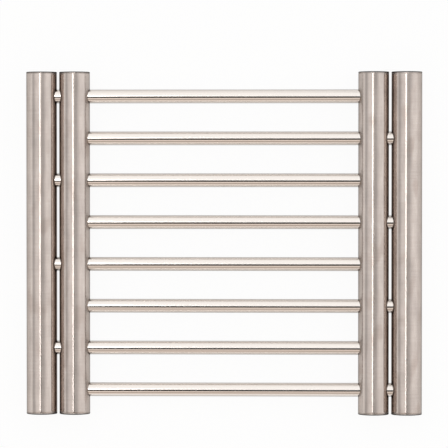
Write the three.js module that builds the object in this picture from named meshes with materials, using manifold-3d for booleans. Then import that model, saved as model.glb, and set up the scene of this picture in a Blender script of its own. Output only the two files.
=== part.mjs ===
// Expanding trivet for hot pans: two ladder frames of stainless steel tube that slide through each other.
// Lengths are in millimetres. +X is the way the trivet pulls open, +Y runs along the thick cross tubes
// and +Z is up. The origin lies on the table, under the middle of the trivet, which stands almost shut.
//
// The two frames are the same part: the right one is the left one turned half round. Each frame has an
// end tube and a far tube joined by four rods, and its rods run through the other frame's far tube.
import * as THREE from "three";
import { mergeVertices } from "three/addons/utils/BufferGeometryUtils.js";
import Module from "manifold-3d";

// Driving dimensions of the trivet
const tubeSpacing = 195; // between the axes of one frame's two cross tubes: half the length pulled open
const tubeLength = 201; // over both end caps
const tubeDiameter = 18;
const rodDiameter = 8;
const rodsPerFrame = 4;
const rodInset = 14.4; // from a tube's end to the axis of its first rod
const restGap = 1.4; // between an end tube and the far tube beside it, as the trivet stands

// Cross tubes
const tubeWall = 0.8;

// Rods, which are thin tubes themselves
const rodWall = 0.6;
const rodEndGap = 0.3; // from a rod's end to the far wall of the tube that it is welded into

// Pressed end caps
const flangeThickness = 1;
const flangeEdgeRadius = 0.3;
const flangeSeam = 0.1; // hairline between the flange and the end of its tube
const spigotWall = 1;
const spigotShort = 3.4; // from the spigot's end to the side of the nearest rod

// Clearances, each on the radius
const weldClearance = 0.1; // round a rod's end, in the hole that it is welded into
const slideClearance = 0.25; // round a rod, in the two holes that it slides through
const spigotClearance = 0.1; // round a cap's spigot, in the bore of its tube

// How far a cutting tool runs past the face that it cuts
const cutOverrun = 1;

// Flat facets round each kind of cylinder, in fours so that flats face straight up, down and sideways
const tubeFacets = 40;
const rodFacets = 24;
const edgeSteps = 2; // straight steps round the flange's edge

const tubeRadius = tubeDiameter / 2;
const boreRadius = tubeRadius - tubeWall;
const rodRadius = rodDiameter / 2;
const bareTubeLength = tubeLength - 2 * (flangeThickness + flangeSeam);

const wasm = await Module();
wasm.setup();

const brushedSteel = new THREE.MeshStandardMaterial({ color: 0xcbc1ba, roughness: 0.32, metalness: 1 });
const polishedSteel = new THREE.MeshStandardMaterial({ color: 0xe2d8d0, roughness: 0.12, metalness: 1 });
const pressedSteel = new THREE.MeshStandardMaterial({ color: 0xd6ccc5, roughness: 0.24, metalness: 1 });

// A closed profile of [radius, height] points, turned about Y. Its flats, not its corners, lie at the radii.
function turned(profile, facets) {
  const toCorner = 1 / Math.cos(Math.PI / facets);
  const points = profile.map(([radius, height]) => new THREE.Vector2(radius * toCorner, height));
  return new THREE.LatheGeometry(points, facets, Math.PI / facets);
}

// A three.js geometry as a solid that can be cut: corners that coincide are merged, and the triangles
// that shrink to nothing where a profile meets its axis are left out.
function solidFrom(geometry) {
  const bare = geometry.clone();
  bare.deleteAttribute("normal");
  bare.deleteAttribute("uv");
  const merged = mergeVertices(bare);
  const corners = Array.from(merged.index.array);
  const kept = corners.filter((_, at) => {
    const [a, b, c] = corners.slice(at - (at % 3), at - (at % 3) + 3);
    return a !== b && b !== c && c !== a;
  });
  return new wasm.Manifold(
    new wasm.Mesh({
      numProp: 3,
      vertProperties: merged.attributes.position.array,
      triVerts: new Uint32Array(kept),
    }),
  );
}

function geometryFrom(solid) {
  const mesh = solid.getMesh();
  const indexed = new THREE.BufferGeometry();
  indexed.setAttribute("position", new THREE.BufferAttribute(mesh.vertProperties, mesh.numProp));
  indexed.setIndex(new THREE.BufferAttribute(mesh.triVerts, 1));
  const flat = indexed.toNonIndexed();
  flat.computeVertexNormals();
  return flat;
}

// Where one frame's rods lie along its cross tubes: the rods of the two frames take turns, evenly spaced.
// The other frame's rods lie at the same places negated.
function rodPlaces() {
  const outermost = tubeLength / 2 - rodInset;
  const pitch = (2 * outermost) / (2 * rodsPerFrame - 1);
  return Array.from({ length: rodsPerFrame }, (_, k) => outermost - 2 * k * pitch);
}

// The tool that drills one wall of a cross tube, from the tube's axis out through the side at +X or -X.
function drill(side, along, clearance) {
  const radius = rodRadius + clearance;
  const reach = tubeRadius + cutOverrun;
  const tool = turned([[0, 0], [radius, 0], [radius, reach], [0, reach]], rodFacets);
  tool.rotateZ((-side * Math.PI) / 2);
  tool.translate(0, along, 0);
  return solidFrom(tool);
}

// A cross tube on the Y axis, drilled by the tools given.
function drilledTube(drills) {
  const half = bareTubeLength / 2;
  const wall = turned(
    [[boreRadius, -half], [tubeRadius, -half], [tubeRadius, half], [boreRadius, half], [boreRadius, -half]],
    tubeFacets,
  );
  return geometryFrom(drills.reduce((tube, tool) => tube.subtract(tool), solidFrom(wall)));
}

// The end tube is drilled on its inner side only, for the rods that are welded into it.
function endTube() {
  return drilledTube(rodPlaces().map((along) => drill(1, along, weldClearance)));
}

// The far tube is drilled for its own rods on the side that faces the end tube, and right through for
// the other frame's rods.
function farTube() {
  const welded = rodPlaces().map((along) => drill(-1, along, weldClearance));
  const sliding = rodPlaces().flatMap((along) => [1, -1].map((side) => drill(side, -along, slideClearance)));
  return drilledTube([...welded, ...sliding]);
}

// How far past a cross tube's axis a rod reaches: its square end stops just short of the round far wall.
function rodReach() {
  return Math.sqrt(boreRadius ** 2 - rodRadius ** 2) - rodEndGap;
}

// A rod on the Y axis, from the bore of one cross tube to the bore of the other.
function rod() {
  const half = tubeSpacing / 2 + rodReach();
  const inside = rodRadius - rodWall;
  return geometryFrom(
    solidFrom(
      turned([[inside, -half], [rodRadius, -half], [rodRadius, half], [inside, half], [inside, -half]], rodFacets),
    ),
  );
}

// An end cap, pressed as a shallow cup. Its flange covers the tube's end, from height 0 up, and its
// spigot reaches down into the bore and stops short of the first rod.
function endCap() {
  const spigotLength = rodInset - rodRadius - flangeThickness - spigotShort;
  const spigot = boreRadius - spigotClearance;
  const inside = spigot - spigotWall;
  const edge = Array.from({ length: edgeSteps + 1 }, (_, k) => {
    const turn = (k / edgeSteps) * (Math.PI / 2);
    const inset = flangeEdgeRadius * (1 - Math.cos(turn));
    return [tubeRadius - inset, flangeThickness - flangeEdgeRadius * (1 - Math.sin(turn))];
  });
  const profile = [
    [0, 0],
    [inside, 0],
    [inside, -spigotLength],
    [spigot, -spigotLength],
    [spigot, 0],
    [tubeRadius, 0],
    ...edge,
    [0, flangeThickness],
  ];
  return geometryFrom(solidFrom(turned(profile, tubeFacets)));
}

function piece(name, geometry, material, x, y) {
  const mesh = new THREE.Mesh(geometry, material);
  mesh.name = name;
  mesh.position.set(x, y, tubeRadius);
  return mesh;
}

// A cross tube and its two caps. ends names the one at +Y and the one at -Y.
function cappedTube(name, geometry, x, ends) {
  const capSeat = bareTubeLength / 2 + flangeSeam;
  const [plus, minus] = ends.map((end, k) =>
    piece(`${name}_${end}_cap`, endCap(), pressedSteel, x, k === 0 ? capSeat : -capSeat),
  );
  minus.rotation.z = Math.PI;
  return [piece(name, geometry, brushedSteel, x, 0), plus, minus];
}

// One whole frame, with its end tube on the left. ends names its caps at +Y and at -Y.
function ladderFrame(name, ends) {
  const endTubeX = -(tubeSpacing + tubeDiameter + restGap) / 2;
  const farTubeX = endTubeX + tubeSpacing;
  const frame = new THREE.Group();
  frame.add(...cappedTube(`${name}_end_tube`, endTube(), endTubeX, ends));
  frame.add(...cappedTube(`${name}_far_tube`, farTube(), farTubeX, ends));
  rodPlaces().forEach((along, k) => {
    const bar = piece(`${name}_rod_${k + 1}`, rod(), polishedSteel, (endTubeX + farTubeX) / 2, along);
    bar.rotation.z = -Math.PI / 2;
    frame.add(bar);
  });
  return frame;
}

// The right frame is turned half round, so what is its own +Y end is the trivet's front.
const leftFrame = ladderFrame("left_frame", ["back", "front"]);
const rightFrame = ladderFrame("right_frame", ["front", "back"]);
rightFrame.rotation.z = Math.PI;

const trivet = new THREE.Group();
trivet.add(leftFrame, rightFrame);

export default trivet;
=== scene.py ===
"""The expanding trivet, dressed: smooth drilled tubes, bright rods and pressed caps of stainless steel.

Lengths are in metres. +X is the way the trivet pulls open, +Y runs along the thick tubes and +Z is up.
"""
import math

import bmesh
import bpy
import numpy as np
from bpy.props import FloatProperty, FloatVectorProperty, IntProperty, PointerProperty
from mathutils import Matrix, Vector


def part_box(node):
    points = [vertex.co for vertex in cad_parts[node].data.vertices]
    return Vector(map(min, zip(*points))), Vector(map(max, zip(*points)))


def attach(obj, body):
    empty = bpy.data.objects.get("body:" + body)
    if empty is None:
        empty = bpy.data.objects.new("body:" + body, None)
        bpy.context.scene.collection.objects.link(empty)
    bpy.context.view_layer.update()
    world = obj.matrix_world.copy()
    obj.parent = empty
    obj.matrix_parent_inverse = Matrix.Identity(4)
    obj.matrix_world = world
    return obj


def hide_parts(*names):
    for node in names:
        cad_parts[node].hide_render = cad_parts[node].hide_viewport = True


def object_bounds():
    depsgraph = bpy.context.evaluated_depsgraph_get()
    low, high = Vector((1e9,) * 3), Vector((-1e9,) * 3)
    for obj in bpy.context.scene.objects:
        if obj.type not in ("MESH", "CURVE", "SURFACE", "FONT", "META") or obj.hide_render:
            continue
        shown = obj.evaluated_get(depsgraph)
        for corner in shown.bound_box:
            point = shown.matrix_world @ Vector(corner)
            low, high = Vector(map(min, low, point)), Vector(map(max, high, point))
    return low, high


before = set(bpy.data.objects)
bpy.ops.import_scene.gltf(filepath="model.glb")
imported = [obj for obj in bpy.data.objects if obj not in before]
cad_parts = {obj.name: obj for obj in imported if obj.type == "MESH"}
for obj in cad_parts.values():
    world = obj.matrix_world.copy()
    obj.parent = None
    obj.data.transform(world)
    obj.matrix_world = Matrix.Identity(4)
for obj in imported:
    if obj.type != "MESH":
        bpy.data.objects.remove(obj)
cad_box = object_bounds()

bl_info = {
    "name": "Expanding Trivet",
    "version": (1, 0, 0),
    "blender": (4, 5, 0),
    "location": "View3D > Sidebar > Trivet",
    "description": "Builds the drilled tubes, rods and caps of an expanding steel trivet, and its studio",
    "category": "Add Mesh",
}

FRAMES = ("left_frame", "right_frame")
TUBES = ("end_tube", "far_tube")
ENDS = ("back", "front")
RODS = ("rod_1", "rod_2", "rod_3", "rod_4")

# A tube is divided along its length into bays, one for each rod of both frames
BAYS = len(FRAMES) * len(RODS)

# The square cell round a hole spans half a bay to each side, and this angle up and down the tube's wall
CELL_HALF_ANGLE = math.radians(50)

# The rings of a cell crowd towards its hole: each lies at its even share of the way to this power
CELL_CROWDING = 1.25

# Steps along the surfaces that have no cell. The cells' own steps are one of the trivet's sizes.
TOP_STEPS = 20
HOLE_EDGE_STEPS = 4
TUBE_EDGE_STEPS = 3
ROD_SIDES = 64
ROD_STEPS = 32
CAP_SIDES = 72
FLANGE_SIDE_STEPS = 5
FLANGE_EDGE_STEPS = 6
CAP_FACE_STEPS = 15

# Points nearer than this are one point, and an edge that turns by more than this angle is sharp
MERGE_DISTANCE = 0.000002
SHARP_ANGLE = math.radians(35)

# The UV map that follows the fine lines of a finish, and the marks on the points that the materials read
GRAIN = "grain"
JOINT = "joint"
# The marks of painted shade: round each hole, and along the edge of each cap's face
PAINTED_HOLE_SHADE = "hole_shade"
PAINTED_RIM_SHADE = "rim"

# How far each mark reaches: the dull patch at a weld, the painted shade round a hole, the painted shade at a
# cap's rim
JOINT_REACH = 0.006
PAINTED_HOLE_SHADE_REACH = 0.00045
PAINTED_RIM_SHADE_REACH = 0.0008

# How steeply the painted shade at a cap's rim fades: it starts at this, is cut off at 1, and ends at 0 at its
# reach
PAINTED_RIM_SHADE_FADE = 2.5

# How many times as long as wide each pattern of the finishes is
GRAIN_STRETCH = 24
CLOUD_STRETCH = 4
SMUDGE_STRETCH = 2.5
DRAW_STRETCH = 60
SPIN_STRETCH = 40

# The darkest and lightest shade that a pattern gives its steel, and the levels of the painted shade round a
# hole and at a cap's rim
CLOUD_SHADES = (0.78, 1.24)
DRAW_SHADES = (0.98, 1.02)
SPIN_SHADES = (0.84, 1.12)
PAINTED_HOLE_SHADE_LEVEL = 0.25
PAINTED_RIM_SHADE_LEVEL = 0.11

# How much rougher the ground steel is at a weld
JOINT_ROUGHNESS = 0.08

# The tint of each steel's reflection at a grazing angle, where a surface that isn't perfect loses some light
TUBE_EDGE_TINT = "c0c0c0"
ROD_EDGE_TINT = "a0a0a0"
CAP_EDGE_TINT = "c0c0c0"

# The photograph's frame, in pixels
PHOTO_SIDE = 448
PHOTO_OBJECT_WIDTH = 395.7
PHOTO_OBJECT_CENTRE = (223.9, 243.1)

# The nearest and furthest that the camera sees
CAMERA_REACH = (0.1, 100.0)

# The table's paper, and how far it reaches to each side
PAPER = "fafaf9"
FLOOR_REACH = 50.0

# How much of the paper's look is plain white instead of what lights it, for the camera and in the metal
CAMERA_WHITE = 0.93
METAL_WHITE = 0.5

# The tent's ramps, each with the way it runs, its interpolation and its stops. Across runs from the left
# horizon over the top to the right one, in even angles. Along runs from the front over the top to the back,
# in even steps of Y on a sphere. Panels and walls give the tent its softer and darker parts. Where slot and
# slit overlap is the roof's opening, and where strip and strip_ends overlap is the strip light.
TENT = {
    "panels": (
        "across",
        "EASE",
        [
            (0.0, "aaaaaa"),
            (0.07, "a6a6a6"),
            (0.16, "808080"),
            (0.31, "a4a4a4"),
            (0.43, "a8a8a8"),
            (0.52, "a8a8a8"),
            (0.55, "808080"),
            (0.61, "868686"),
            (0.66, "989898"),
            (0.75, "a8a8a8"),
            (1.0, "aaaaaa"),
        ],
    ),
    "walls": (
        "along",
        "LINEAR",
        [
            (0.0, "e2d6cd"),
            (0.04, "e2d6cd"),
            (0.075, "a4988f"),
            (0.12, "a4988f"),
            (0.16, "e2d6cd"),
            (0.22, "f2e6dd"),
            (0.33, "e2d6cd"),
            (0.42, "ffffff"),
            (0.85, "ffffff"),
            (0.95, "f8f7f6"),
            (1.0, "f0eeec"),
        ],
    ),
    "slot": (
        "across",
        "EASE",
        [(0.45, "000000"), (0.465, "ffffff"), (0.518, "ffffff"), (0.54, "000000")],
    ),
    "slit": (
        "along",
        "EASE",
        [(0.25, "000000"), (0.285, "ffffff"), (0.48, "ffffff"), (0.51, "000000")],
    ),
    "strip": (
        "across",
        "EASE",
        [(0.441, "000000"), (0.451, "ffffff"), (0.467, "ffffff"), (0.4755, "000000")],
    ),
    "strip_ends": (
        "along",
        "EASE",
        [(0.44, "000000"), (0.48, "ffffff"), (0.64, "ffffff"), (0.68, "000000")],
    ),
}

# How dark the opening is, from 0 for no opening to 1 for black
OPENING_DEPTH = 0.95

# How bright the strip light is beside a white ramp
STRIP_STRENGTH = 2.2

# Lifts the tent's greys to the level at which a colour renders about as it is written
TENT_STRENGTH = 2.9

# The sine of the height where the tent's plain white skirt begins to end, and where it has ended
SKIRT_TOP = (0.1, 0.15)


def linear(code):
    """An sRGB hex colour as linear RGBA, by the curve of the sRGB standard."""
    channels = np.array([int(code[k : k + 2], 16) for k in (0, 2, 4)]) / 255
    low = channels / 12.92
    high = ((channels + 0.055) / 1.055) ** 2.4
    return (*np.where(channels <= 0.04045, low, high).tolist(), 1.0)


def shade(colour_value, factor):
    """A linear colour made lighter or darker, with its alpha kept."""
    red, green, blue, alpha = colour_value
    return (red * factor, green * factor, blue * factor, alpha)


def length(name, description, default):
    """A length that the user can change."""
    return FloatProperty(
        name=name, description=description, default=default, min=0.0, precision=5, unit="LENGTH"
    )


def colour(name, description, code):
    """A colour that the user can change, from its sRGB hex value."""
    return FloatVectorProperty(
        name=name, description=description, default=linear(code), size=4, min=0.0, max=1.0, subtype="COLOR"
    )


class TrivetSizes(bpy.types.PropertyGroup):
    """Small sizes that the frame doesn't give."""

    tube_wall: length("Tube wall", "Thickness of the thick tubes' wall", 0.0008)
    rod_wall: length("Rod wall", "Thickness of the rods' wall", 0.0006)
    hole_rim: length("Hole rim", "Radius of the rounded edge round each drilled hole", 0.00012)
    slide_gap: length("Slide gap", "Air round a rod where it slides through a hole", 0.00025)
    weld_gap: length("Weld gap", "Hairline round a rod where it is welded into a hole", 0.0001)
    tube_edge: length("Tube edge", "Radius of the broken edge at a tube's end", 0.00012)
    flange: length("Flange", "Thickness of a cap's flange", 0.001)
    flange_edge: length("Flange edge", "Radius of the rounded edge of a flange", 0.0003)
    spigot_gap: length("Spigot gap", "Air between a cap's spigot and the bore", 0.0001)
    spigot_wall: length("Spigot wall", "Thickness of a cap's spigot", 0.001)
    cell_steps: IntProperty(
        name="Cell steps", description="Faces along each side of the square round a hole", default=24, min=8
    )


class TrivetFinish(bpy.types.PropertyGroup):
    """Colours and grain of the three finishes."""

    ground: colour("Ground steel", "Colour of the satin ground tubes", "c6bbb4")
    polished: colour("Polished steel", "Colour of the bright rods", "ece5df")
    pressed: colour("Pressed steel", "Colour of the half bright caps", "c6bbb4")
    grain: length("Grain", "Spacing of the grinding lines round the tubes", 0.0005)
    mottle: length("Mottle", "Width of the faint clouds in the ground finish", 0.004)
    smudge: length("Smudges", "Width of the soft smudges on the tubes", 0.0065)
    smudged: colour("Smudge", "Colour of the ground steel under a smudge", "bcafa7")
    draw: length("Draw lines", "Spacing of the faint lines along the rods", 0.0006)
    spin: length("Spin lines", "Spacing of the rings on the caps", 0.0004)


class TrivetStudio(bpy.types.PropertyGroup):
    """Where the camera stands, and how strong the light is."""

    height: length("Camera height", "Height of the camera above the middle of the tubes", 1.6)
    foot_x: FloatProperty(
        name="Camera foot X", description="Place of the camera along X", default=0.045, unit="LENGTH"
    )
    foot_y: FloatProperty(
        name="Camera foot Y", description="Place of the camera along Y", default=0.045, unit="LENGTH"
    )
    sky: FloatProperty(
        name="Sky", description="Strength of the white tent round the table", default=1.0, min=0.0
    )


# What the frame gives


def place_of(node):
    """The middle of a node's box, and half its size."""
    low, high = (np.array(corner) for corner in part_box(node))
    return (low + high) / 2, (high - low) / 2


def visual_name(node):
    """left_frame_end_tube becomes left_end_tube: a piece is called as its node is, without the word frame."""
    return node.replace("_frame", "")


# Surfaces


def quads_of(grid):
    """The quads of a grid of points, rows by columns, as indices into its points in reading order."""
    rows, columns = grid.shape[:2]
    at = np.arange(rows * columns).reshape(rows, columns)
    corners = (at[:-1, :-1], at[1:, :-1], at[1:, 1:], at[:-1, 1:])
    return np.stack([corner.ravel() for corner in corners], axis=1)


def piece_from(name, grids, centre):
    """A closed mesh object from grids of points whose borders meet, moved to a centre. Points that coincide
    are merged, and faces that shrink to a line at a pole are dropped by the merge."""
    starts = np.cumsum([0] + [grid.shape[0] * grid.shape[1] for grid in grids])
    points = np.concatenate([grid.reshape(-1, 3) for grid in grids])
    quads = np.concatenate([quads_of(grid) + start for grid, start in zip(grids, starts)])
    mesh = bpy.data.meshes.new(name)
    mesh.from_pydata(points, [], quads.tolist())
    work = bmesh.new()
    work.from_mesh(mesh)
    bmesh.ops.remove_doubles(work, verts=work.verts, dist=MERGE_DISTANCE)
    bmesh.ops.recalc_face_normals(work, faces=work.faces)
    work.to_mesh(mesh)
    work.free()
    mesh.shade_smooth()
    mesh.set_sharp_from_angle(angle=SHARP_ANGLE)
    mesh.transform(Matrix.Translation(Vector(centre)))
    piece = bpy.data.objects.new(name, mesh)
    bpy.context.scene.collection.objects.link(piece)
    return piece


def points_of(piece, centre):
    """The points of a piece, as seen from a centre."""
    mesh = piece.data
    values = np.empty(len(mesh.vertices) * 3, np.float32)
    mesh.vertices.foreach_get("co", values)
    return values.reshape(-1, 3) - centre


def lay_grain(piece, straight, angle, radius, lines_turn):
    """A UV map whose U runs across the fine lines of a finish and whose V runs along them. straight is a
    length and angle a turn round the axis, for each point, and the arc is the radius times the angle. The
    lines run round the axis where lines_turn is set, and otherwise straight. Each face keeps its own turn
    of the angle, so that none spans the place where the angle wraps round."""
    mesh = piece.data
    corner = np.empty(len(mesh.loops), np.int32)
    mesh.loops.foreach_get("vertex_index", corner)
    sides = np.empty(len(mesh.polygons), np.int32)
    mesh.polygons.foreach_get("loop_total", sides)
    first = np.repeat(np.cumsum(sides) - sides, sides)
    full_turn = 2 * math.pi
    turned = angle[corner] - angle[corner[first]]
    arc = radius * (angle[corner] - full_turn * np.round(turned / full_turn))
    pair = (straight[corner], arc) if lines_turn else (arc, straight[corner])
    layer = mesh.uv_layers.new(name=GRAIN)
    layer.data.foreach_set("uv", np.stack(pair, axis=1).astype(np.float32).ravel())


def mark(piece, name, values):
    """Keeps a number for each point of a piece, which its material reads by name."""
    attribute = piece.data.attributes.new(name, "FLOAT", "POINT")
    attribute.data.foreach_set("value", values.astype(np.float32))


def finish_piece(piece, node, body, material):
    """Gives a piece its material, hangs it on the empty of the body it rides on, and hides the CAD node that
    it stands for."""
    piece.data.materials.append(material)
    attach(piece, body)
    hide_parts(node)


# Drilled tubes


def bay_middle(bay, pitch):
    """How far the middle of a bay lies from the middle of its tube."""
    return (bay - (BAYS - 1) / 2) * pitch


def ring_to_square(steps):
    """A closed walk of 4 x steps + 1 places: the angle of each on a circle, and its place on the border of
    the square from -1 to 1. Each side of the square spans a quarter of the circle."""
    place = np.arange(4 * steps + 1) / steps
    side = np.floor(place)
    along = 2 * (place - side) - 1
    quarter = side * math.pi / 2
    u = np.cos(quarter) - along * np.sin(quarter)
    v = np.sin(quarter) + along * np.cos(quarter)
    return (place - 0.5) * math.pi / 2, u, v


def hole_wall(radius, y, side, hole, pitch, steps):
    """The wall of a tube round one hole, from the hole's edge out to its cell's square border. A point at s
    along the tube from the hole's middle and at angle c from the X axis lies at (side R cos c, y + s,
    R sin c). On the hole's edge, at angle a round it, s is hole cos a and c is asin(hole sin a / R). Each
    ring from there to the border is a blend of the two."""
    angle, u, v = ring_to_square(steps)
    inner = np.stack([hole * np.cos(angle), np.arcsin(hole * np.sin(angle) / radius)])
    outer = np.stack([pitch / 2 * u, CELL_HALF_ANGLE * v])
    share = np.linspace(0, 1, steps // 2 + 1)[:, None, None] ** CELL_CROWDING
    across, turn = np.moveaxis(inner + (outer - inner) * share, 1, 0)
    return np.stack([side * radius * np.cos(turn), y + across, radius * np.sin(turn)], axis=-1)


def hole_edge(radius, inner_radius, y, side, hole, rim, steps):
    """The edge of one hole: a quarter round of size rim from the outer wall into the hole, then straight to
    the inner wall. A point at angle a round the hole's axis and rho from it, on a wall of radius R, lies at
    (side (sqrt(R^2 - (rho sin a)^2) - depth), y + rho cos a, rho sin a). At turn t of the quarter round, rho
    is hole + rim (1 - sin t) and depth is rim (1 - cos t)."""
    turn = np.linspace(0, math.pi / 2, HOLE_EDGE_STEPS + 1)[:, None]
    angle = ring_to_square(steps)[0][None, :]
    rho = np.concatenate([hole + rim * (1 - np.sin(turn)), [[hole]]])
    depth = np.concatenate([rim * (1 - np.cos(turn)), [[0.0]]])
    wall = np.concatenate([np.full_like(turn, radius), [[inner_radius]]])
    x = np.sqrt(wall**2 - (rho * np.sin(angle)) ** 2) - depth
    return np.stack([side * x, y + rho * np.cos(angle), rho * np.sin(angle)], axis=-1)


def wall_strip(radius, places, turns):
    """A plain stretch of a tube's wall: a point at y and at angle t from +Z towards +X lies at
    (R sin t, y, R cos t)."""
    y, turn = np.meshgrid(places, turns, indexing="ij")
    return np.stack([radius * np.sin(turn), y, radius * np.cos(turn)], axis=-1)


def tube_end(radius, inner_radius, half_length, sign, edge, turns):
    """A tube's end: a quarter round of size edge at the outside, then the flat ring in to the bore. At turn
    t of the quarter round, a point is edge (1 - cos t) in from the wall and edge (1 - sin t) back from the
    end."""
    round_turn = np.linspace(0, math.pi / 2, TUBE_EDGE_STEPS + 1)[:, None]
    inset = np.concatenate([edge * (1 - np.cos(round_turn)), [[radius - inner_radius]]])
    back = np.concatenate([edge * (1 - np.sin(round_turn)), [[0.0]]])
    turn = turns[None, :]
    size = radius - inset
    y = sign * (half_length - back) + 0 * turn
    return np.stack([size * np.sin(turn), y, size * np.cos(turn)], axis=-1)


def drilled_tube(name, centre, half_length, radius, pitch, holes):
    """A tube along Y. Each of its bays has a cell on the +X side and one on the -X side, which is plain or
    has a hole in it, and a plain strip above and below. holes maps (bay, side) to the hole's radius."""
    sizes = bpy.context.scene.trivet_sizes
    steps = sizes.cell_steps
    inner_radius = radius - sizes.tube_wall
    quarter = math.pi / 2
    top = np.linspace(CELL_HALF_ANGLE - quarter, quarter - CELL_HALF_ANGLE, TOP_STEPS + 1)
    right = np.linspace(quarter - CELL_HALF_ANGLE, quarter + CELL_HALF_ANGLE, steps + 1)
    turns = {"top": top, 1: right, "under": top + math.pi, -1: right + math.pi}
    drilled_end = BAYS / 2 * pitch
    grids = []
    for wall, border in ((radius, half_length - sizes.tube_edge), (inner_radius, half_length)):
        rim = sizes.hole_rim if wall == radius else 0
        for bay in range(BAYS):
            middle = bay_middle(bay, pitch)
            places = np.linspace(middle - pitch / 2, middle + pitch / 2, steps + 1)
            for side, turn in turns.items():
                if (bay, side) in holes:
                    hole = holes[bay, side] + rim
                    grids.append(hole_wall(wall, middle, side, hole, pitch, steps))
                else:
                    grids.append(wall_strip(wall, places, turn))
        for turn in turns.values():
            for sign in (1, -1):
                grids.append(wall_strip(wall, sign * np.array([drilled_end, border]), turn))
    for (bay, side), hole in holes.items():
        middle = bay_middle(bay, pitch)
        grids.append(hole_edge(radius, inner_radius, middle, side, hole, sizes.hole_rim, steps))
    for turn in turns.values():
        for sign in (1, -1):
            grids.append(tube_end(radius, inner_radius, half_length, sign, sizes.tube_edge, turn))
    return piece_from(name, grids, centre)


def mark_joints(piece, centre, radius, pitch, welded):
    """Marks the steel round the welds: exp(-(d / reach)^2) at the distance d from the nearest weld, which is
    where the axis of a welded rod meets the tube's wall."""
    bays, sides = np.array(welded).T
    welds = np.stack([sides * radius, bay_middle(bays, pitch), 0 * bays], axis=1)
    points = points_of(piece, centre)
    gaps = np.linalg.norm(points[:, None, :] - welds[None, :, :], axis=2).min(axis=1)
    mark(piece, JOINT, np.exp(-((gaps / JOINT_REACH) ** 2)))


def mark_painted_hole_shade(piece, centre, pitch, holes, rim):
    """Marks painted shade round each hole's edge, where the gap round a rod would be in shadow: 1 in the hole
    and on its rim, and 1 - d / reach at the distance d from it.
    """
    points = points_of(piece, centre)
    hole_shade = np.zeros(len(points))
    for (bay, side), hole in holes.items():
        out = np.hypot(points[:, 1] - bay_middle(bay, pitch), points[:, 2]) - hole - rim
        near = np.clip(1 - out / PAINTED_HOLE_SHADE_REACH, 0, 1) * (side * points[:, 0] > 0)
        hole_shade = np.maximum(hole_shade, near)
    mark(piece, PAINTED_HOLE_SHADE, hole_shade)


class TRIVET_OT_cross_tubes(bpy.types.Operator):
    """Builds the four thick tubes, drilled for the rods"""

    bl_idname = "trivet.cross_tubes"
    bl_label = "Cross tubes"

    def execute(self, context):
        sizes = context.scene.trivet_sizes
        material = ground_steel(context.scene.trivet_finish)
        rods = {(body, rod): place_of(f"{body}_{rod}") for body in FRAMES for rod in RODS}
        front = min(middle[1] for middle, _ in rods.values())
        back = max(middle[1] for middle, _ in rods.values())
        pitch = (back - front) / (BAYS - 1)
        for body in FRAMES:
            for tube in TUBES:
                node = f"{body}_{tube}"
                centre, (_, half_length, radius) = place_of(node)
                holes = {}
                welded = []
                for (rod_body, _), (middle, (_, _, rod_radius)) in rods.items():
                    bay = round((middle[1] - front) / pitch)
                    facing = 1 if middle[0] > centre[0] else -1
                    if rod_body == body:
                        holes[bay, facing] = rod_radius + sizes.weld_gap
                        welded.append((bay, facing))
                    elif tube == "far_tube":
                        for side in (1, -1):
                            holes[bay, side] = rod_radius + sizes.slide_gap
                piece = drilled_tube(visual_name(node), centre, half_length, radius, pitch, holes)
                across, along, up = points_of(piece, centre).T
                lay_grain(piece, along, np.arctan2(across, up), radius, lines_turn=True)
                mark_joints(piece, centre, radius, pitch, welded)
                mark_painted_hole_shade(piece, centre, pitch, holes, sizes.hole_rim)
                finish_piece(piece, node, body, material)
        return {"FINISHED"}


# Rods and caps


def turned_piece(name, profile, axis, centre, sides):
    """A closed profile of (radius, height) rows carried round an axis: the point at angle a lies at
    radius (cos a, sin a) across the axis and at its height along it."""
    angle = np.linspace(0, 2 * math.pi, sides + 1)[None, :]
    radius, height = profile.T[:, :, None]
    across = (radius * np.cos(angle), radius * np.sin(angle))
    along = height + 0 * angle
    order = {"X": (along, *across), "Y": (across[1], along, across[0])}[axis]
    return piece_from(name, [np.stack(order, axis=-1)], centre)


def quarter_round(radius, height, size, steps):
    """Rows of an edge rounded by size, from the side at radius up to the face at height: at turn t a row is
    (radius - size (1 - cos t), height - size (1 - sin t))."""
    turn = np.linspace(0, math.pi / 2, steps + 1)
    return np.stack([radius - size * (1 - np.cos(turn)), height - size * (1 - np.sin(turn))], axis=1)


def cap_profile(sizes, radius, depth):
    """The rows of half a cap's section, from the axis inside its spigot out over the flange to the middle of
    its face. The height is 0 at the flange's seat, and the spigot reaches down from there by its depth."""
    spigot = radius - sizes.tube_wall - sizes.spigot_gap
    inside = spigot - sizes.spigot_wall
    side_top = sizes.flange - sizes.flange_edge
    face_edge = radius - sizes.flange_edge
    under = [(0, 0), (inside, 0), (inside, -depth), (spigot, -depth), (spigot, 0)]
    side = np.linspace((radius, 0), (radius, side_top), FLANGE_SIDE_STEPS, endpoint=False)
    edge = quarter_round(radius, sizes.flange, sizes.flange_edge, FLANGE_EDGE_STEPS)
    face = np.linspace((face_edge, sizes.flange), (0, sizes.flange), CAP_FACE_STEPS + 1)[1:]
    return np.concatenate([under, side, edge, face])


def mark_painted_rim_shade(piece, face, radius):
    """Marks painted shade along the outer edge of a cap's face, whose middle is the point face: at the
    distance d from that edge the mark is the fade times (1 - d / reach), kept between 0 and 1."""
    points = points_of(piece, face)
    inward = np.maximum(radius - np.hypot(points[:, 0], points[:, 2]), 0)
    gaps = np.hypot(points[:, 1], inward)
    mark(piece, PAINTED_RIM_SHADE, np.clip(PAINTED_RIM_SHADE_FADE * (1 - gaps / PAINTED_RIM_SHADE_REACH), 0, 1))


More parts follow.
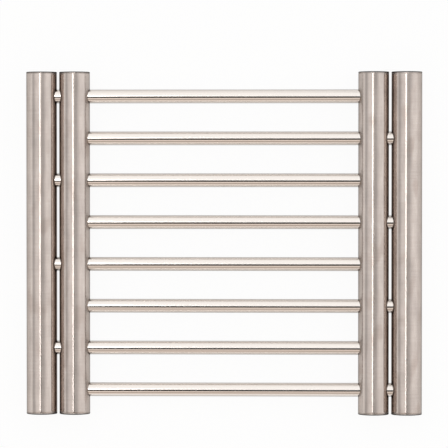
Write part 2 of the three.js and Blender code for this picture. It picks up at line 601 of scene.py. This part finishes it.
class TRIVET_OT_rods(bpy.types.Operator):
    """Builds the eight rods, thin polished tubes"""

    bl_idname = "trivet.rods"
    bl_label = "Rods"

    def execute(self, context):
        sizes = context.scene.trivet_sizes
        material = polished_steel(context.scene.trivet_finish)
        for body in FRAMES:
            for rod in RODS:
                node = f"{body}_{rod}"
                centre, (half_length, _, radius) = place_of(node)
                bore = radius - sizes.rod_wall
                outside = np.linspace((radius, -half_length), (radius, half_length), ROD_STEPS + 1)
                inside = [(bore, half_length), (bore, -half_length), (radius, -half_length)]
                profile = np.concatenate([outside, inside])
                piece = turned_piece(visual_name(node), profile, "X", centre, ROD_SIDES)
                along, across, up = points_of(piece, centre).T
                lay_grain(piece, along, np.arctan2(across, up), radius, lines_turn=False)
                finish_piece(piece, node, body, material)
        return {"FINISHED"}


class TRIVET_OT_caps(bpy.types.Operator):
    """Builds the eight pressed caps in the tubes' ends"""

    bl_idname = "trivet.caps"
    bl_label = "End caps"

    def execute(self, context):
        sizes = context.scene.trivet_sizes
        material = pressed_steel(context.scene.trivet_finish)
        nodes = {f"{body}_{tube}_{end}_cap": body for body in FRAMES for tube in TUBES for end in ENDS}
        for node, body in nodes.items():
            centre, (radius, half_depth, _) = place_of(node)
            outward = np.array([0, 1 if centre[1] > 0 else -1, 0])
            face = centre + outward * half_depth
            seat = face - outward * sizes.flange
            profile = cap_profile(sizes, radius, 2 * half_depth - sizes.flange) * (1, outward[1])
            piece = turned_piece(visual_name(node), profile, "Y", seat, CAP_SIDES)
            across, _, up = points_of(piece, seat).T
            lay_grain(piece, np.hypot(across, up), np.arctan2(across, up), radius, lines_turn=True)
            mark_painted_rim_shade(piece, face, radius)
            finish_piece(piece, node, body, material)
        return {"FINISHED"}


# Materials


def add_node(tree, kind, inputs=None, **settings):
    """Adds a node with its settings. inputs maps a socket to a value or to another node's output."""
    node = tree.nodes.new(kind)
    for key, value in settings.items():
        setattr(node, key, value)
    for key, value in (inputs or {}).items():
        if isinstance(value, bpy.types.NodeSocket):
            tree.links.new(value, node.inputs[key])
        else:
            node.inputs[key].default_value = value
    return node


def new_material(name):
    """A material and its empty node tree."""
    material = bpy.data.materials.new(name)
    material.use_nodes = True
    material.node_tree.nodes.clear()
    return material, material.node_tree


def ground_steel(finish):
    """Stainless steel tube, AISI 304, centreless ground with a fine belt. The belt leaves short fine lines
    round the tube, so a reflection stays fairly crisp across the tube and smears far along it. Wear and
    handling leave faint clouds and smudges drawn out along it. A dark line of painted shade runs round each
    hole, where the gap round a rod would be in shadow."""
    material, tree = new_material("ground_stainless_steel")
    place = add_node(tree, "ShaderNodeTexCoord").outputs["Object"]

    # The belt's real lines are less than 0.1 mm apart. They are drawn coarser, so that they show.
    along_scale = 1 / finish.grain
    round_scale = along_scale / GRAIN_STRETCH
    grain_place = add_node(
        tree,
        "ShaderNodeMapping",
        {"Vector": place, "Scale": (round_scale, along_scale, round_scale)},
    )
    grain = add_node(
        tree,
        "ShaderNodeTexNoise",
        {"Vector": grain_place.outputs[0], "Scale": 1.0, "Detail": 3.0},
    )

    cloud_scale = 1 / finish.mottle
    cloud_place = add_node(
        tree,
        "ShaderNodeMapping",
        {"Vector": place, "Scale": (cloud_scale, cloud_scale / CLOUD_STRETCH, cloud_scale)},
    )
    clouds = add_node(
        tree,
        "ShaderNodeTexNoise",
        {"Vector": cloud_place.outputs[0], "Scale": 1.0, "Detail": 2.0, "Roughness": 0.45},
    )
    dark_cloud, light_cloud = CLOUD_SHADES
    clouded = add_node(
        tree,
        "ShaderNodeMix",
        {
            "Factor": clouds.outputs["Fac"],
            "A": shade(finish.ground, dark_cloud),
            "B": shade(finish.ground, light_cloud),
        },
        data_type="RGBA",
    )

    smudge_scale = 1 / finish.smudge
    smudge_place = add_node(
        tree,
        "ShaderNodeMapping",
        {"Vector": place, "Scale": (smudge_scale, smudge_scale / SMUDGE_STRETCH, smudge_scale)},
    )
    smudges = add_node(
        tree,
        "ShaderNodeTexNoise",
        {"Vector": smudge_place.outputs[0], "Scale": 1.0, "Detail": 1.0, "Roughness": 0.4},
    )
    smudge_mask = add_node(
        tree,
        "ShaderNodeMapRange",
        {"Value": smudges.outputs["Fac"], "From Min": 0.5, "From Max": 0.76},
        interpolation_type="SMOOTHERSTEP",
    )
    smudged = add_node(
        tree,
        "ShaderNodeMix",
        {"Factor": smudge_mask.outputs[0], "A": clouded.outputs["Result"], "B": finish.smudged},
        data_type="RGBA",
    )

    lined = add_node(
        tree,
        "ShaderNodeMix",
        {"Factor": 0.1, "A": smudged.outputs["Result"], "B": grain.outputs["Fac"]},
        data_type="RGBA",
        blend_type="OVERLAY",
    )
    # Painted shade round each hole, which darkens the steel where the gap round a rod would be in shadow
    hole_shade = add_node(tree, "ShaderNodeAttribute", attribute_name=PAINTED_HOLE_SHADE)
    hole_shaded = add_node(
        tree,
        "ShaderNodeMix",
        {
            "Factor": hole_shade.outputs["Fac"],
            "A": lined.outputs["Result"],
            "B": shade(finish.ground, PAINTED_HOLE_SHADE_LEVEL),
        },
        data_type="RGBA",
    )

    rough = add_node(
        tree,
        "ShaderNodeMapRange",
        {"Value": grain.outputs["Fac"], "To Min": 0.195, "To Max": 0.215},
    )
    joint = add_node(tree, "ShaderNodeAttribute", attribute_name=JOINT)
    dulled = add_node(
        tree,
        "ShaderNodeMath",
        {0: joint.outputs["Fac"], 1: JOINT_ROUGHNESS, 2: rough.outputs[0]},
        operation="MULTIPLY_ADD",
    )

    lines = add_node(
        tree,
        "ShaderNodeBump",
        {"Height": grain.outputs["Fac"], "Strength": 0.03, "Distance": 0.00002},
    )
    waves = add_node(
        tree,
        "ShaderNodeBump",
        {
            "Height": clouds.outputs["Fac"],
            "Strength": 1.0,
            "Distance": 0.00003,
            "Normal": lines.outputs[0],
        },
    )
    tangent = add_node(tree, "ShaderNodeTangent", direction_type="UV_MAP", uv_map=GRAIN)
    shader = add_node(
        tree,
        "ShaderNodeBsdfPrincipled",
        {
            "Base Color": hole_shaded.outputs["Result"],
            "Metallic": 1.0,
            "Roughness": dulled.outputs[0],
            "Anisotropic": 0.8,
            "Specular Tint": linear(TUBE_EDGE_TINT),
            "Normal": waves.outputs[0],
            "Tangent": tangent.outputs[0],
        },
    )
    add_node(tree, "ShaderNodeOutputMaterial", {"Surface": shader.outputs[0]})
    return material


def polished_steel(finish):
    """Stainless steel rod, drawn and then polished bright along its length: nearly a mirror, with faint
    lines that run along it."""
    material, tree = new_material("polished_stainless_steel")
    grain = add_node(tree, "ShaderNodeUVMap", uv_map=GRAIN).outputs[0]

    # The real lines are finer. They are drawn coarser, so that they show.
    line_scale = 1 / finish.draw
    line_place = add_node(
        tree,
        "ShaderNodeMapping",
        {"Vector": grain, "Scale": (line_scale, line_scale / DRAW_STRETCH, 1.0)},
    )
    lines = add_node(
        tree,
        "ShaderNodeTexNoise",
        {"Vector": line_place.outputs[0], "Scale": 1.0, "Detail": 2.0},
    )
    dark_line, light_line = DRAW_SHADES
    lined = add_node(
        tree,
        "ShaderNodeMix",
        {
            "Factor": lines.outputs["Fac"],
            "A": shade(finish.polished, dark_line),
            "B": shade(finish.polished, light_line),
        },
        data_type="RGBA",
    )
    rough = add_node(
        tree,
        "ShaderNodeMapRange",
        {"Value": lines.outputs["Fac"], "To Min": 0.09, "To Max": 0.12},
    )
    shader = add_node(
        tree,
        "ShaderNodeBsdfPrincipled",
        {
            "Base Color": lined.outputs["Result"],
            "Metallic": 1.0,
            "Roughness": rough.outputs[0],
            "Specular Tint": linear(ROD_EDGE_TINT),
        },
    )
    add_node(tree, "ShaderNodeOutputMaterial", {"Surface": shader.outputs[0]})
    return material


def pressed_steel(finish):
    """Stainless steel sheet, pressed to a cap and spun against fine abrasive: half bright, with fine rings.
    A dark band of painted shade runs round the edge of its face."""
    material, tree = new_material("pressed_stainless_steel")
    grain = add_node(tree, "ShaderNodeUVMap", uv_map=GRAIN).outputs[0]

    # The real rings are finer. They are drawn coarser, so that they show.
    ring_scale = 1 / finish.spin
    ring_place = add_node(
        tree,
        "ShaderNodeMapping",
        {"Vector": grain, "Scale": (ring_scale, ring_scale / SPIN_STRETCH, 1.0)},
    )
    rings = add_node(
        tree,
        "ShaderNodeTexNoise",
        {"Vector": ring_place.outputs[0], "Scale": 1.0, "Detail": 2.0},
    )
    dark_ring, light_ring = SPIN_SHADES
    ringed = add_node(
        tree,
        "ShaderNodeMix",
        {
            "Factor": rings.outputs["Fac"],
            "A": shade(finish.pressed, dark_ring),
            "B": shade(finish.pressed, light_ring),
        },
        data_type="RGBA",
    )
    # Painted shade along the edge of the cap's face
    rim = add_node(tree, "ShaderNodeAttribute", attribute_name=PAINTED_RIM_SHADE)
    rim_shaded = add_node(
        tree,
        "ShaderNodeMix",
        {
            "Factor": rim.outputs["Fac"],
            "A": ringed.outputs["Result"],
            "B": shade(finish.pressed, PAINTED_RIM_SHADE_LEVEL),
        },
        data_type="RGBA",
    )
    rough = add_node(
        tree,
        "ShaderNodeMapRange",
        {"Value": rings.outputs["Fac"], "To Min": 0.2, "To Max": 0.32},
    )
    tangent = add_node(tree, "ShaderNodeTangent", direction_type="UV_MAP", uv_map=GRAIN)
    shader = add_node(
        tree,
        "ShaderNodeBsdfPrincipled",
        {
            "Base Color": rim_shaded.outputs["Result"],
            "Metallic": 1.0,
            "Roughness": rough.outputs[0],
            "Anisotropic": 0.6,
            "Specular Tint": linear(CAP_EDGE_TINT),
            "Tangent": tangent.outputs[0],
        },
    )
    add_node(tree, "ShaderNodeOutputMaterial", {"Surface": shader.outputs[0]})
    return material


# Stage


def make_floor(level):
    """The table, a wide sheet of white paper. It looks nearly plain white to the camera and half so in the
    metal, and the rest of its look is what lights it, so it keeps a faint shadow."""
    mesh = bpy.data.meshes.new("floor")
    corners = [(x * FLOOR_REACH, y * FLOOR_REACH, level) for x, y in ((-1, -1), (1, -1), (1, 1), (-1, 1))]
    mesh.from_pydata(corners, [], [(0, 1, 2, 3)])
    floor = bpy.data.objects.new("floor", mesh)
    bpy.context.scene.collection.objects.link(floor)
    material, tree = new_material("white_paper")
    path = add_node(tree, "ShaderNodeLightPath")
    paper = add_node(tree, "ShaderNodeBsdfDiffuse", {"Color": linear(PAPER)})
    white = add_node(tree, "ShaderNodeEmission", {"Color": linear("ffffff"), "Strength": 1.0})
    in_metal = add_node(
        tree,
        "ShaderNodeMath",
        {0: path.outputs["Is Glossy Ray"], 1: path.outputs["Is Transmission Ray"]},
        operation="MAXIMUM",
    )
    metal_share = add_node(
        tree,
        "ShaderNodeMath",
        {0: in_metal.outputs[0], 1: METAL_WHITE},
        operation="MULTIPLY",
    )
    share = add_node(
        tree,
        "ShaderNodeMath",
        {0: path.outputs["Is Camera Ray"], 1: CAMERA_WHITE, 2: metal_share.outputs[0]},
        operation="MULTIPLY_ADD",
    )
    mixed = add_node(
        tree,
        "ShaderNodeMixShader",
        {0: share.outputs[0], 1: paper.outputs[0], 2: white.outputs[0]},
    )
    add_node(tree, "ShaderNodeOutputMaterial", {"Surface": mixed.outputs[0]})
    mesh.materials.append(material)


def set_stops(ramp, stops):
    """Fills a colour ramp from a list of (position, sRGB hex colour)."""
    while len(ramp.elements) > 1:
        ramp.elements.remove(ramp.elements[-1])
    for k, (position, code) in enumerate(stops):
        element = ramp.elements[0] if k == 0 else ramp.elements.new(position)
        element.position = position
        element.color = linear(code)


def make_tent(scene, strength):
    """The only light: a white tent with softer and darker panels, as the world. The thick tubes mirror it
    across and the rods mirror it along, so it is the product of one ramp for each. The roof has a dark
    opening, which the camera looks through, and one narrow strip light beside it. Round the horizon the
    tent ends in a plain white skirt."""
    world = bpy.data.worlds.new("light_tent")
    scene.world = world
    world.use_nodes = True
    tree = world.node_tree
    tree.nodes.clear()
    way = add_node(tree, "ShaderNodeTexCoord").outputs["Generated"]
    parts = add_node(tree, "ShaderNodeSeparateXYZ", {0: way})
    x, y, z = parts.outputs
    turn = add_node(tree, "ShaderNodeMath", {0: x, 1: z}, operation="ARCTAN2")
    quarter = math.pi / 2
    shares = {
        "across": add_node(
            tree,
            "ShaderNodeMapRange",
            {"Value": turn.outputs[0], "From Min": -quarter, "From Max": quarter},
        ),
        "along": add_node(
            tree,
            "ShaderNodeMapRange",
            {"Value": y, "From Min": -1.0, "From Max": 1.0},
        ),
    }
    ramps = {}
    for name, (direction, interpolation, stops) in TENT.items():
        ramp = add_node(tree, "ShaderNodeValToRGB", {0: shares[direction].outputs[0]})
        ramp.color_ramp.interpolation = interpolation
        set_stops(ramp.color_ramp, stops)
        ramps[name] = ramp.outputs[0]
    tent = add_node(
        tree,
        "ShaderNodeMix",
        {"Factor": 1.0, "A": ramps["panels"], "B": ramps["walls"]},
        data_type="RGBA",
        blend_type="MULTIPLY",
    )
    opening = add_node(
        tree,
        "ShaderNodeMath",
        {0: ramps["slot"], 1: ramps["slit"]},
        operation="MULTIPLY",
    )
    depth = add_node(
        tree,
        "ShaderNodeMath",
        {0: opening.outputs[0], 1: OPENING_DEPTH},
        operation="MULTIPLY",
    )
    opened = add_node(
        tree,
        "ShaderNodeMix",
        {"Factor": depth.outputs[0], "A": tent.outputs["Result"], "B": linear("000000")},
        data_type="RGBA",
    )
    strip = add_node(
        tree,
        "ShaderNodeMath",
        {0: ramps["strip"], 1: ramps["strip_ends"]},
        operation="MULTIPLY",
    )
    lit = add_node(
        tree,
        "ShaderNodeMix",
        {
            "Factor": strip.outputs[0],
            "A": opened.outputs["Result"],
            "B": shade(linear("ffffff"), STRIP_STRENGTH),
        },
        data_type="RGBA",
    )
    roof = add_node(
        tree,
        "ShaderNodeBackground",
        {"Color": lit.outputs["Result"], "Strength": TENT_STRENGTH * strength},
    )
    skirt = add_node(tree, "ShaderNodeBackground", {"Color": linear("ffffff"), "Strength": strength})
    skirt_foot, skirt_end = SKIRT_TOP
    height = add_node(
        tree,
        "ShaderNodeMapRange",
        {"Value": z, "From Min": skirt_foot, "From Max": skirt_end},
    )
    whole = add_node(
        tree,
        "ShaderNodeMixShader",
        {0: height.outputs[0], 1: skirt.outputs[0], 2: roof.outputs[0]},
    )
    add_node(tree, "ShaderNodeOutputWorld", {"Surface": whole.outputs[0]})


def make_camera(scene, studio):
    """The camera aims at the point that the photograph's centre shows, from nearly straight above. Its right
    side is level with X, and its lens gives the photograph's scale at the middle of the tubes."""
    low, high = (Vector(corner) for corner in cad_box)
    middle = (low + high) / 2
    scale = (high.x - low.x) / PHOTO_OBJECT_WIDTH
    half_side = PHOTO_SIDE / 2
    object_x, object_y = PHOTO_OBJECT_CENTRE
    target = middle + Vector(((half_side - object_x) * scale, (object_y - half_side) * scale, 0))
    data = bpy.data.cameras.new("camera")
    camera = bpy.data.objects.new("camera", data)
    scene.collection.objects.link(camera)
    camera.location = Vector((studio.foot_x, studio.foot_y, middle.z + studio.height))
    back = camera.location - target
    right = Vector((0, 1, 0)).cross(back).normalized()
    up = back.cross(right).normalized()
    camera.rotation_euler = Matrix((right, up, back.normalized())).transposed().to_euler()
    data.lens = data.sensor_width * back.length / (PHOTO_SIDE * scale)
    data.clip_start, data.clip_end = CAMERA_REACH
    scene.camera = camera


class TRIVET_OT_stage(bpy.types.Operator):
    """Sets up the white table, the light tent and the camera"""

    bl_idname = "trivet.stage"
    bl_label = "Stage"

    def execute(self, context):
        studio = context.scene.trivet_studio
        table_height = cad_box[0][2]
        make_floor(table_height)
        make_tent(context.scene, studio.sky)
        make_camera(context.scene, studio)
        context.scene.view_settings.view_transform = "Standard"
        return {"FINISHED"}


# The add-on


class TRIVET_PT_panel(bpy.types.Panel):
    """Lists the trivet's pieces and its studio"""

    bl_idname = "TRIVET_PT_panel"
    bl_label = "Expanding trivet"
    bl_space_type = "VIEW_3D"
    bl_region_type = "UI"
    bl_category = "Trivet"

    def draw(self, context):
        for operator in OPERATORS:
            self.layout.operator(operator.bl_idname)
        for name, group in GROUPS.items():
            for setting in group.__annotations__:
                self.layout.prop(getattr(context.scene, name), setting)


OPERATORS = (TRIVET_OT_stage, TRIVET_OT_cross_tubes, TRIVET_OT_rods, TRIVET_OT_caps)
GROUPS = {"trivet_sizes": TrivetSizes, "trivet_finish": TrivetFinish, "trivet_studio": TrivetStudio}


def register():
    for name, group in GROUPS.items():
        bpy.utils.register_class(group)
        setattr(bpy.types.Scene, name, PointerProperty(type=group))
    for item in (*OPERATORS, TRIVET_PT_panel):
        bpy.utils.register_class(item)


def unregister():
    for item in (TRIVET_PT_panel, *OPERATORS):
        bpy.utils.unregister_class(item)
    for name, group in GROUPS.items():
        delattr(bpy.types.Scene, name)
        bpy.utils.unregister_class(group)


def main():
    register()
    bpy.ops.trivet.stage()
    bpy.ops.trivet.cross_tubes()
    bpy.ops.trivet.rods()
    bpy.ops.trivet.caps()


if __name__ == "__main__":
    main()
